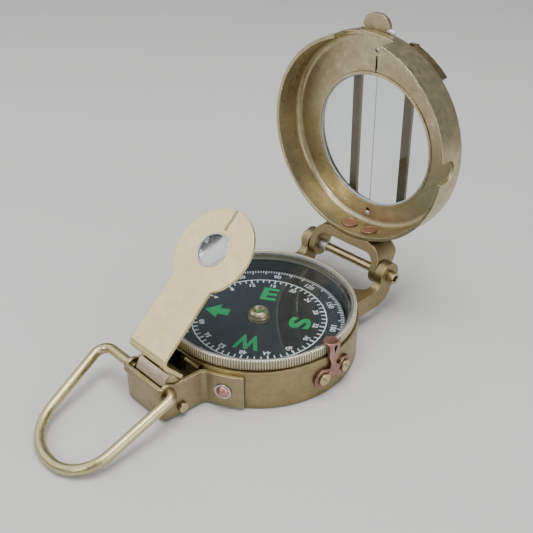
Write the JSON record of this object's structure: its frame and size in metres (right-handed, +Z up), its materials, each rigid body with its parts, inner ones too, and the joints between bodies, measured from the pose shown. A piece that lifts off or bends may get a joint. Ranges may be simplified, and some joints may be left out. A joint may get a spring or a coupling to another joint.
{
  "type": "sighting compass",
  "caption": "Brass pocket sighting compass with a folding cover that holds a sighting wire, a folding lens sight, a turning bezel, a floating card and a wire thumb loop.",
  "frame": {"origin": "centre of the case on the flat face of its base", "axes": "+Z up through the card's pivot, +Y from the lens sight towards the cover's hinge, +X towards the index clip"},
  "size_m": [0.0608, 0.1215, 0.086],
  "materials": {
    "case_brass": "antique satin, brushed",
    "bezel_brass": "satin with a bright top edge",
    "cover_brass": "antique satin with darker patches",
    "sight_brass": "polished, fine scratches",
    "bright_brass": "polished",
    "loop_brass": "polished by handling",
    "copper": "copper, lightly tarnished",
    "steel": "plain steel",
    "spring_metal": "satin",
    "glass": "clear",
    "card": "satin black print with white scales and green letters",
    "jewel": "gloss",
    "magnet": "dull steel"
  },
  "bodies": {
    "case": {"case_cup": "case_brass", "card_pivot": "case_brass", "case_yoke": "case_brass", "yoke_rivets": "copper", "stirrup_strap": "case_brass", "strap_rivets": "copper", "rivet_washers": "steel", "sight_pin": "bright_brass", "sight_spring": "spring_metal", "index_clip": "copper", "clip_screws": "bright_brass", "lifter_bracket": "case_brass", "hinge_pin": "bright_brass", "hinge_nut": "bright_brass"},
    "lifter": {"lifter_lever": "case_brass"},
    "bezel": {"bezel_ring": "bezel_brass", "crystal": "glass", "crystal_retainer": "steel", "bezel_spring": "steel"},
    "card": {"card_disc": "card", "card_hub": "bright_brass", "hub_jewel": "jewel", "card_magnets": "magnet"},
    "cover": {"lid_cup": "cover_brass", "lift_tab": "cover_brass", "lid_yoke": "cover_brass", "lid_rivets": "copper", "window_ring": "bright_brass", "window_glass": "glass", "glass_retainer": "cover_brass", "sight_wire": "steel", "wire_anchors": "steel", "guard_feet": "cover_brass", "guard_bar_left": "cover_brass", "guard_bar_right": "cover_brass"},
    "sight": {"sight_bracket": "sight_brass", "sight_lens": "glass", "lens_ring": "steel"},
    "loop": {"thumb_loop": "loop_brass"}
  },
  "joints": [
    {"name": "bezel_turn", "type": "hinge", "parent": "case", "child": "bezel", "pos_m": [0, 0, 0.0138], "axis": [0, 0, 1], "continuous": true},
    {"name": "card_spin", "type": "hinge", "parent": "case", "child": "card", "pos_m": [0, 0, 0.0092], "axis": [0, 0, 1], "continuous": true},
    {"name": "cover_shut", "type": "hinge", "parent": "case", "child": "cover", "pos_m": [0, 0.03836, 0.01319], "axis": [1, 0, 0], "range_deg": [-8, 88.43]},
    {"name": "sight_fold", "type": "hinge", "parent": "case", "child": "sight", "pos_m": [0, -0.0349, 0.003], "axis": [1, 0, 0], "range_deg": [-40.56, 3.68]},
    {"name": "lifter_rock", "type": "hinge", "parent": "case", "child": "lifter", "pos_m": [0, -0.0244, 0.0063], "axis": [1, 0, 0], "range_deg": [-0.37, 4.01]},
    {"name": "loop_swing", "type": "hinge", "parent": "case", "child": "loop", "pos_m": [0, -0.0382, 0.0092], "axis": [1, 0, 0], "range_deg": [-120, 75]}
  ],
  "couplings": [
    {"joint": "sight_fold", "follows": "cover_shut", "ratio": -0.45855},
    {"joint": "lifter_rock", "follows": "cover_shut", "ratio": 0.04523}
  ]
}
